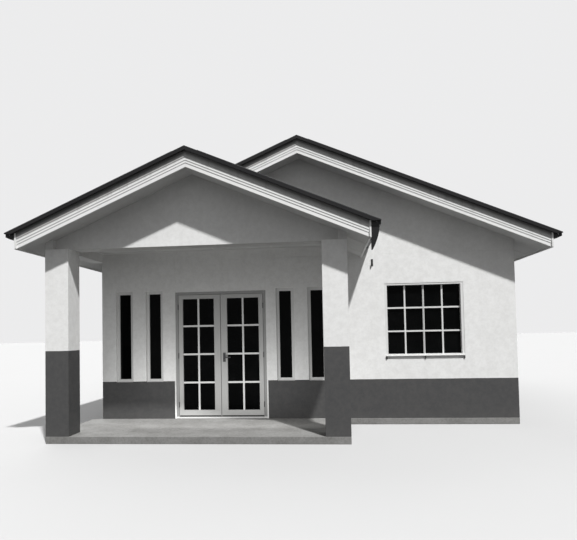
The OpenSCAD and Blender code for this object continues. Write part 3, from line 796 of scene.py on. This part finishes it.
# %% Cap screws
CAP_SCREW_DOWN, CAP_SCREW_STEP, CAP_SCREW_END = 0.148, 0.4, 0.08
cap_screws = []
for x0, top, y0, y1 in (
        (0.0, cap_high.z, main_edge_y, -main_edge_y),
        (ridge_x, cap_high.z - ridge_z + porch_ridge_z, flashing_low.y, main_edge_y - 0.02)):
    run = y1 - y0 - 2 * CAP_SCREW_END
    count = round(run / CAP_SCREW_STEP)
    cap_screws += [(slope_point(x0, top, side, CAP_SCREW_DOWN,
                                y0 + CAP_SCREW_END + n * run / count, HAIR / 2),
                    square_out(side))
                   for n in range(count + 1) for side in (-1, 1)]
piece("cap_screws", *turned(cap_screws, HEX_HEAD, 6), zinc, slot="steel")

# %% [markdown]
# ## Apron where the porch roof meets the wall
# The right slope of the porch roof ends against the front wall. A folded strip covers that
# line: one leg lies on the ribs and the other stands against the wall. A small saddle laps
# over the end of the porch's ridge cap and reaches the main barge board.

# %% Apron strip
APRON_FROM, LEG_UP, APRON_OUT, LIP_DOWN = 0.46, 0.075, 0.095, 0.014
SADDLE_FROM, SADDLE_TO, SADDLE_LAP = 0.012, 0.185, 0.057
sheet_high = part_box("porch_roof_sheet_right")[1]
rib_line = sheet_high.z - RIB_TOP * math.cos(PITCH) + RIB_TOP / math.cos(PITCH) - porch_ridge_z
apron_x = (ridge_x + APRON_FROM, sheet_high.x - 0.002)


def sloping(xs, low, high):
    """Outline that follows the porch's right slope from one x to the other."""
    shape = [(x, line_z(x, porch=True) + low) for x in xs]
    return shape + [(x, line_z(x, porch=True) + high) for x in reversed(xs)]


saddle_x, cap_line = (ridge_x + SADDLE_FROM, ridge_x + SADDLE_TO), cap_high.z - ridge_z
on_ribs, wall_leg_y, lip_y = rib_line + 0.0006, front_y - 0.0022, front_y - APRON_OUT
prisms("porch_apron", [
    (sloping(apron_x, on_ribs, rib_line + LEG_UP), wall_leg_y, front_y - 0.0004),
    (sloping(apron_x, on_ribs, rib_line + 0.0022), lip_y, wall_leg_y),
    (sloping(apron_x, rib_line - LIP_DOWN, on_ribs), lip_y - 0.0015, lip_y),
    (sloping(saddle_x, cap_line + 0.0003, cap_line + 0.002), main_edge_y - SADDLE_LAP,
     main_barge_low.y - 0.0005),
], trim_metal, slot="roof_metal")
print("apron from x", round(apron_x[0], 3), "to", round(apron_x[1], 3))

# %% [markdown]
# ## Gutter ends and straps
# A folded gutter hangs in straps that are screwed to the fascia, about every 0.8 m. At its
# ends a flat plate closes it and reaches up to the flashing, so that the corner of the roof
# reads as one dark shape.

# %% Outlines of the end plate and the strap
BOARD_TOP = rear_barge_high.z - ridge_z
GUTTER_OUT = gutter_high.x - eave_x
GUTTER_FOOT = BOARD_TOP - 0.090
FOOT_OUT = GUTTER_OUT * 0.42
LIP_UP = BOARD_TOP - 0.004 - fall * GUTTER_OUT
PLATE_NECK = 0.074
STRAP_STEP, STRAP_W, STRAP_T = 0.8, 0.025, 0.0025


def gutter_shape(points, edge, side, base):
    """An outline drawn from a board's lower corner, moved to one edge of the roof."""
    return [(edge + side * x, base + z) for x, z in points]


END_PLATE = [(0.001, GUTTER_FOOT), (FOOT_OUT, GUTTER_FOOT), (GUTTER_OUT - 0.001, LIP_UP),
             (GUTTER_OUT - 0.001, FLASH_TOP - 0.005 - fall * GUTTER_OUT),
             (PLATE_NECK, FLASH_TOP - 0.005 - fall * PLATE_NECK),
             (PLATE_NECK, BOARD_TOP - 0.002 - fall * PLATE_NECK), (0.001, BOARD_TOP - 0.002)]
lean = Vector((GUTTER_OUT - FOOT_OUT, LIP_UP - GUTTER_FOOT))
aside = Vector((lean.y, -lean.x)).normalized() * STRAP_T
top_of_strap = Vector((FOOT_OUT, GUTTER_FOOT)) + lean * 0.9
STRAP = [(0.001, GUTTER_FOOT - STRAP_T), (FOOT_OUT + 0.001, GUTTER_FOOT - STRAP_T),
         tuple(top_of_strap + aside), tuple(top_of_strap), (FOOT_OUT, GUTTER_FOOT),
         (0.001, GUTTER_FOOT)]
print("gutter stands out", round(GUTTER_OUT, 3), "and hangs to", round(GUTTER_FOOT, 3))

# %% Gutter plates and straps
porch_edge = ridge_x + porch_reach
eave_base, porch_base = line_z(eave_x), line_z(porch_edge, porch=True)
front_end, rear_end = gutter_low.y, gutter_high.y
runs = [(-eave_x, -1, eave_base, front_end, rear_end),
        (eave_x, 1, eave_base, main_barge_low.y, rear_end),
        (porch_edge, 1, porch_base, front_end, front_y)]
plates, straps = [], []
for edge, side, base, y0, y1 in runs:
    plates.append((gutter_shape(END_PLATE, edge, side, base), y0 - 0.002, y0 + 0.001))
    if y1 == rear_end:
        plates.append((gutter_shape(END_PLATE, edge, side, base), y1 - 0.001, y1 + 0.002))
    count = round((y1 - y0) / STRAP_STEP)
    for n in range(1, count):
        y = y0 + n * (y1 - y0) / count
        straps.append((gutter_shape(STRAP, edge, side, base), y - STRAP_W / 2, y + STRAP_W / 2))
prisms("gutter_end_plates", plates, trim_metal, slot="roof_metal")
prisms("gutter_straps", straps, zinc, slot="steel")

# %% [markdown]
# ## Board ends and soffit strips
# A thin upright strip covers the end grain of each barge board. Under the eaves the soffit
# is made of flat sheets, and a painted strip covers each joint and each line where the
# sheets meet a side wall. The strips are thin, and they give the plain underside its scale.

# %% Barge end strips
BARGE_DEEP, END_W, END_OUT, END_IN = 0.04, 0.022, 0.0003, 0.003
ends = []
for edge, side, base, y0 in (
        (-eave_x, -1, eave_base, porch_barge_low.y),
        (porch_edge, 1, porch_base, porch_barge_low.y),
        (eave_x, 1, eave_base, main_barge_low.y),
        (-eave_x, -1, eave_base, rear_barge_high.y - BARGE_DEEP),
        (eave_x, 1, eave_base, rear_barge_high.y - BARGE_DEEP)):
    inner, outer, top = edge - side * END_W, edge - side * END_OUT, base + BOARD_TOP - 0.004
    ends.append(([(inner, base + 0.012), (outer, base + 0.002), (outer, top), (inner, top)],
                 y0 - END_IN, y0 + BARGE_DEEP + END_IN))
prisms("barge_end_strips", ends, fascia_paint, slot="board")

# %% Soffit strips
SOFFIT_UNDER = 0.010
STRIP_T, STRIP_W = 0.004, 0.028
BOARD_IN, BOARD_BACK = 0.026, 0.046
EAVE_JOINTS, FIRST_JOINT = 8, 0.6
GABLE_JOINTS = (0.95, 1.9, 2.85)
PORCH_JOINTS = (-3.0, -2.2, -0.65, 0.15)
PORCH_SIDE_JOINTS = (-5.4, -4.6)


def under(x_from, x_to, y0, y1, porch=False, thick=STRIP_T):
    """A strip under a sloping soffit."""
    low = SOFFIT_UNDER - HAIR
    shape = [(x, line_z(x, porch) + low) for x in (x_from, x_to)]
    shape += [(x, line_z(x, porch) + low - thick) for x in (x_to, x_from)]
    return shape, y0, y1


strips = []
for side in (-1, 1):
    inner, outer = side * (half_w + 0.001), side * (eave_x - BOARD_IN)
    for n in range(EAVE_JOINTS):
        y = front_y + FIRST_JOINT + n * (rear_y - front_y - FIRST_JOINT) / (EAVE_JOINTS - 1)
        strips.append(under(inner, outer, y - STRIP_W / 2, y + STRIP_W / 2))
    strips.append(under(inner, inner + side * 0.022, front_y + 0.002, rear_y, thick=0.014))
for y0, y1, sides in ((main_barge_low.y + BOARD_BACK, front_y, (1,)),
                      (rear_y, rear_barge_high.y - BOARD_BACK, (-1, 1))):
    strips += [under(side * x - STRIP_W / 2, side * x + STRIP_W / 2, y0, y1)
               for x in GABLE_JOINTS for side in sides]
strips += [under(x - STRIP_W / 2, x + STRIP_W / 2, porch_barge_low.y + BOARD_BACK,
                 gable_low.y - 0.001, porch=True) for x in PORCH_JOINTS]
strips += [under(gable_high.x + 0.0015, porch_edge - BOARD_IN, y, y + STRIP_W, porch=True)
           for y in PORCH_SIDE_JOINTS]
prisms("soffit_strips", strips, soffit_paint, slot="board")

# %% [markdown]
# ## Strips of the porch ceiling
# The porch has a flat ceiling of sheets. Thin strips cover their joints, and a square bead
# runs round the rim against the walls. Each is one long bar, all in one mesh.

# %% Porch ceiling strips
JOINT_W, JOINT_T, RIM = 0.030, 0.005, 0.024
c0, c1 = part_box("porch_ceiling")
joint_z, rim_z, top_z = c0.z - JOINT_T, c0.z - RIM, c0.z - HAIR
cross_y = (c0.y + c1.y) / 2
grid = [((c0.x, cross_y - JOINT_W / 2, joint_z), (c1.x, cross_y + JOINT_W / 2, top_z))]
grid += [((x - JOINT_W / 2, c0.y, joint_z), (x + JOINT_W / 2, c1.y, top_z))
         for x in (c0.x + (c1.x - c0.x) * n / 4 for n in (1, 2, 3))]
grid += [((c0.x, y, rim_z), (c1.x, y + RIM, top_z)) for y in (c0.y, c1.y - RIM)]
grid += [((x, c0.y + RIM, rim_z), (x + RIM, c1.y - RIM, top_z)) for x in (c0.x, c1.x - RIM)]
bars("porch_ceiling_strips", grid, ceiling_paint, slot="board")

# %% [markdown]
# ## Beads and inner bars
# Every pane is held by a thin black rubber bead, a three-sided ring that runs round it. The
# leaves' glazing bars lie in front of one large pane, and thin bars repeat them on the
# room's side, where they show when a door stands open. A small function turns a place on a
# wall into a place in the world, so that the same ring serves every wall.

# %% Panes and their beads
BEAD, REBATE = 0.006, 0.001
LEAF_BAR, WINDOW_BAR = 0.028, 0.024


def panes(low, high, across, upward, bar):
    """Pane rectangles (x0, x1, z0, z1) of a glazed field."""
    wide = (high[0] - low[0] - (across - 1) * bar) / across
    tall = (high[1] - low[1] - (upward - 1) * bar) / upward
    return [(low[0] + i * (wide + bar), low[0] + i * (wide + bar) + wide,
             low[1] + k * (tall + bar), low[1] + k * (tall + bar) + tall)
            for i in range(across) for k in range(upward)]


def bead_rings(fields):
    """Bead rings; a field is a list of panes, the glass's face and a place on the wall."""
    verts, faces = [], []
    for rectangles, face, place in fields:
        for x0, x1, z0, z1 in rectangles:
            start = len(verts)
            for x, z, sx, sz in ((x0, z0, 1, 1), (x1, z0, -1, 1), (x1, z1, -1, -1),
                                 (x0, z1, 1, -1)):
                verts += [place(x, face, z), place(x, face - BEAD, z),
                          place(x + sx * BEAD, face, z + sz * BEAD)]
            for k in range(4):
                a, b = start + 3 * k, start + 3 * ((k + 1) % 4)
                faces += [[a, b, b + 1, a + 1], [a + 1, b + 1, b + 2, a + 2],
                          [a + 2, b + 2, b, a]]
    return verts, faces


def wall_place(x, y, turn):
    """Place on a wall: u along it, depth into it, z up; turn is the wall's angle."""
    c, s = math.cos(math.radians(turn)), math.sin(math.radians(turn))
    return lambda u, depth, z: (x + u * c - depth * s, y + u * s + depth * c, z)


as_is = wall_place(0, 0, 0)
print("bead", BEAD, "leaf bars", LEAF_BAR, "window bars", WINDOW_BAR)

# %% Beads and inner bars of the leaves
INNER_BAR_T = 0.0075
for side in ("left", "right"):
    low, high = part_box("door_glass_" + side)
    own = {"body": side + "_door", "slot": "door_paint"}
    field = panes((low.x - REBATE, low.z - REBATE), (high.x + REBATE, high.z + REBATE), 2, 4,
                  LEAF_BAR)
    piece("pane_beads_" + side, *bead_rings([(field, low.y - HAIR, as_is)]), black_rubber, **own)
    y0, y1 = high.y + HAIR, high.y + INNER_BAR_T
    left_in, right_in = field[0][1], field[4][0]
    inner = [((left_in, y0, low.z + REBATE), (right_in, y1, high.z - REBATE))]
    for below, above in zip(field[:3], field[1:4]):
        inner += [((x0, y0, below[3]), (x1, y1, above[2]))
                  for x0, x1 in ((low.x + REBATE, left_in), (right_in, high.x - REBATE))]
    bars("inner_bars_" + side, inner, leaf_paint, 0.0012, **own)

# %% [markdown]
# ## Windows: beads, casings and weather bars
# The windows of the unseen walls repeat the front window, so all seven are made at once,
# each from its place on a wall. Four boards case each frame nearly flush with the wall. At
# its foot a weather bar on small dark blocks throws the rain clear, and its shadow is the
# grey line under the panes.

# %% Beads of the windows
SLIT_W, SLIT_FRAME, SLIT_STEP = 0.291, 0.048, 0.518
slit_low, slit_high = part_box("sidelight_glass")
slit_glass_w = SLIT_W - 2 * SLIT_FRAME - 6 * HAIR
slit_lefts = (slit_low.x, slit_low.x + SLIT_STEP, slit_high.x - SLIT_STEP - slit_glass_w,
              slit_high.x - slit_glass_w)
slit_panes = [(x, x + slit_glass_w, slit_low.z, slit_high.z) for x in slit_lefts]
piece("sidelight_beads", *bead_rings([(slit_panes, slit_low.y - HAIR, as_is)]), black_rubber,
      slot="frame_paint")

frame_low, frame_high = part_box("front_window_frame")
pane_low, pane_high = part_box("front_window_glass")
window_x = (frame_low.x + frame_high.x) / 2
half_frame = (frame_high.x - frame_low.x) / 2
face_depth, glass_depth = frame_low.y - front_y, pane_low.y - front_y - HAIR
SIDE_STEP, REAR_STEP = 3.6, 3.3
WINDOWS = [wall_place(window_x, front_y, 0)]
WINDOWS += [wall_place(s * half_w, t * SIDE_STEP / 2, s * 90) for s in (-1, 1) for t in (-1, 1)]
WINDOWS += [wall_place(t * REAR_STEP / 2, rear_y, 180) for t in (-1, 1)]
field = panes((pane_low.x - REBATE - window_x, pane_low.z - REBATE),
              (pane_high.x + REBATE - window_x, pane_high.z + REBATE), 4, 3, WINDOW_BAR)
piece("window_beads", *bead_rings([(field, glass_depth, place) for place in WINDOWS]),
      black_rubber, slot="frame_paint")

# %% Casings and weather bars
CASING_FACE, CASING_SIDE, CASING_TOP, CASING_FOOT = 0.006, 0.041, 0.029, 0.082
BAR_OUT, BAR_UP, BAR_T = 0.032, 0.050, 0.011
BLOCK_OUT, BLOCK_HALF, BLOCK_IN = 0.020, 0.009, 0.012


def wall_blocks(boxes):
    """Bars on the walls: each is a place and its low and high corner there."""
    made = []
    for place, low, high in boxes:
        a, b = place(*low), place(*high)
        made.append((tuple(map(min, a, b)), tuple(map(max, a, b))))
    return made


casings, weather, blocks, joints = [], [], [], []
foot, head, wide = frame_low.z, frame_high.z, half_frame
deep, behind_bar = face_depth - HAIR, CASING_FACE - 0.0003
for place in WINDOWS:
    casings += [(place, (-wide, CASING_FACE, foot), (wide, deep, foot + CASING_FOOT)),
                (place, (-wide, CASING_FACE, head - CASING_TOP), (wide, deep, head))]
    casings += [(place, (min(u, u + s * CASING_SIDE), CASING_FACE, foot + CASING_FOOT),
                 (max(u, u + s * CASING_SIDE), deep, head - CASING_TOP))
                for u, s in ((-wide, 1), (wide, -1))]
    weather.append((place, (-wide + 0.001, CASING_FACE - BAR_OUT, foot + BAR_UP),
                    (wide - 0.001, behind_bar, foot + BAR_UP + BAR_T)))
    blocks += [(place, (u - BLOCK_HALF, CASING_FACE - BLOCK_OUT, foot + 0.003),
                (u + BLOCK_HALF, behind_bar, foot + BAR_UP - 0.001))
               for u in (-wide + BLOCK_IN, 0.0, wide - BLOCK_IN)]
    joints.append((place, (-0.0035, deep - 0.0018, foot + CASING_FOOT + 0.001),
                   (0.0005, deep, head - CASING_TOP)))
bars("window_casings", wall_blocks(casings), window_paint, 0.0015, slot="frame_paint")
bars("weather_bars", wall_blocks(weather), window_paint, 0.002, slot="frame_paint")
bars("weather_bar_blocks", wall_blocks(blocks), black_plastic, 0.0015, slot="frame_paint")
bars("sash_joints", wall_blocks(joints), black_plastic, 0.0004, slot="frame_paint")

# %% [markdown]
# ## Fittings on the doors and the wall
# The lever's plate has a keyhole cover and two screws on either face. A black rubber seal
# runs along the foot of each leaf and draws a dark line over the threshold, whose front a
# bright strip covers. High on the front wall, left of the window, sits one small dark wall
# fitting with a short arm.

# %% Lever fittings
LOCK_RING = [(0.0135, 0.0), (0.0135, 0.0025), (0.0115, 0.0035), (0.0065, 0.0035),
             (0.0055, 0.0012)]
PLATE_SCREW = [(0.0050, 0.0), (0.0050, 0.0012), (0.0036, 0.0020), (0.0012, 0.0020),
               (0.0008, 0.0010)]
PLATE_IN, PLATE_T, KEYHOLE_DOWN, PLATE_SCREW_UP = 0.053, 0.0063, 0.045, 0.066
leaf_low, leaf_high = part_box("door_leaf_right")
plate_x, lever_z = leaf_low.x + PLATE_IN, handle_at[2]
plate_faces = [(leaf_low.y - PLATE_T, -1), (leaf_high.y + PLATE_T, 1)]
lock_at = [((plate_x, y, lever_z - KEYHOLE_DOWN), (0, side, 0)) for y, side in plate_faces]
screw_at = [((plate_x, y, lever_z + up), (0, side, 0)) for y, side in plate_faces
            for up in (-PLATE_SCREW_UP, PLATE_SCREW_UP)]
piece("keyhole_covers", *turned(lock_at, LOCK_RING, 20), zinc, body="right_door", slot="steel")
piece("lever_plate_screws", *turned(screw_at, PLATE_SCREW, 12), zinc, body="right_door",
      slot="steel")
print("plate at x", round(plate_x, 4), "z", round(lever_z, 4))

# %% Foot seals and threshold
SEAL_T, SEAL_TOP, STRIP_OUT, END_GAP = 0.0022, 0.020, 0.004, 0.004
for side in ("left", "right"):
    low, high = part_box("door_leaf_" + side)
    bars("foot_seal_" + side, [((low.x + END_GAP, low.y - SEAL_T, low.z + 0.001),
                                (high.x - END_GAP, low.y - HAIR, low.z + SEAL_TOP))],
         black_rubber, 0.0006, body=side + "_door", slot="door_paint")
bars("threshold_strip", [((door_low.x + END_GAP, door_low.y - STRIP_OUT, floor_z + 0.001),
                          (door_high.x - END_GAP, door_low.y - HAIR, floor_z + 0.0235))],
     window_paint, 0.0012, slot="door_paint")

# %% Wall fitting
FITTING_X, FITTING_Z = 1.16, 2.60
plate_arm_hook = [(0.016, (-0.010, -HAIR), (-0.055, 0.055)),
                  (0.008, (-0.050, -0.009), (-0.030, -0.012)),
                  (0.008, (-0.050, -0.036), (-0.013, 0.020))]
bars("wall_fitting", [((FITTING_X - half, front_y + y[0], FITTING_Z + z[0]),
                       (FITTING_X + half, front_y + y[1], FITTING_Z + z[1]))
                      for half, y, z in plate_arm_hook],
     black_plastic, 0.003, slot="frame_paint")

# %% [markdown]
# ## The stage and the light
# A pale floor carries the house, and the world behind it is pale for the camera, for
# glossy rays and for glass. A material can tell such rays from those that only spread
# light, so the floor and the world may look pale and still light the house at a plain
# level, at which a colour renders about as it is written.


# %% Pale floor
def seen_ray(tree):
    """1 for rays that show a surface or mirror it, 0 for rays that only spread light."""
    camera_ray, glossy_ray, clear_ray = (
        add_node(tree, "ShaderNodeLightPath", out="Is %s Ray" % kind)
        for kind in ("Camera", "Glossy", "Transmission"))
    return camera_ray.larger(glossy_ray).larger(clear_ray)


FLOOR_R, FLOOR_Z, FLOOR_SIDES = 160, -0.001, 96
turns = [2 * math.pi * k / FLOOR_SIDES for k in range(FLOOR_SIDES)]
mesh = bpy.data.meshes.new("pale_floor")
mesh.from_pydata([(FLOOR_R * math.cos(a), FLOOR_R * math.sin(a), FLOOR_Z) for a in turns], [],
                 [list(range(FLOOR_SIDES))])
pale_floor = bpy.data.objects.new("pale_floor", mesh)
bpy.context.scene.collection.objects.link(pale_floor)
f = Finish("pale_floor_finish", Roughness=0.9, Specular_IOR_Level=0.1)
pale = f.mix(f.noise(0.5, 3.0) * 0.3, (0.50, 0.50, 0.50), (0.47, 0.47, 0.47))
f.feed(Base_Color=f.mix(seen_ray(f.tree), (0.05, 0.05, 0.05), pale))
mesh.materials.append(f.material)
print("floor", FLOOR_R, "m in radius")

# %% Pale world
FILL, SEEN = ((0.86, 0.865, 0.87, 1), 0.42), ((0.84, 0.84, 0.845, 1), 1.0)
world = bpy.data.worlds.new("studio")
bpy.context.scene.world = world
world.use_nodes = True
tree = world.node_tree
tree.nodes.clear()
fill, seen = (add_node(tree, "ShaderNodeBackground", Color=colour, Strength=strength)
              for colour, strength in (FILL, SEEN))
blend = add_node(tree, "ShaderNodeMixShader", i0=seen_ray(tree), i1=fill, i2=seen)
add_node(tree, "ShaderNodeOutputWorld", Surface=blend)
print("world fill", FILL[1], "seen", SEEN[1])

# %% [markdown]
# ## Lamps
# A high sun from the front right draws the shadows, and a soft lamp from behind fills them.
# Under the porch a wide low lamp stands in for the light that a sunlit floor throws up on
# the wall. No camera ray, mirror or glass shows it.


# %% Lamps
def lamp(name, strength, spread, travel):
    """A sun lamp; spread is the width of its disc in degrees, travel its direction."""
    data = bpy.data.lights.new(name, "SUN")
    data.energy, data.angle = strength, math.radians(spread)
    light = bpy.data.objects.new(name, data)
    light.rotation_mode = "QUATERNION"
    light.rotation_quaternion = Vector(travel).to_track_quat("-Z", "Y")
    bpy.context.scene.collection.objects.link(light)
    print(name, strength, "spread", spread)


lamp("high_sun", 4.7, 2.0, (-0.62, 1.0, -1.74))
lamp("soft_rear_light", 1.1, 60, (0.45, -0.75, -0.8))

# %% Glow under the porch
GLOW_WIDE, GLOW_TALL, GLOW_WATTS = 3.2, 0.5, 14
GLOW_OUT, GLOW_UP = 0.95, 0.5
glow_data = bpy.data.lights.new("porch_floor_glow", "AREA")
glow_data.shape, glow_data.size, glow_data.size_y = "RECTANGLE", GLOW_WIDE, GLOW_TALL
glow_data.energy = GLOW_WATTS
glow = bpy.data.objects.new("porch_floor_glow", glow_data)
glow.location = (ridge_x, front_y - GLOW_OUT, floor_z + GLOW_UP)
glow.rotation_euler = (math.radians(90), 0, 0)
glow.visible_camera = glow.visible_glossy = glow.visible_transmission = False
bpy.context.scene.collection.objects.link(glow)
print("porch glow", glow_data.energy)
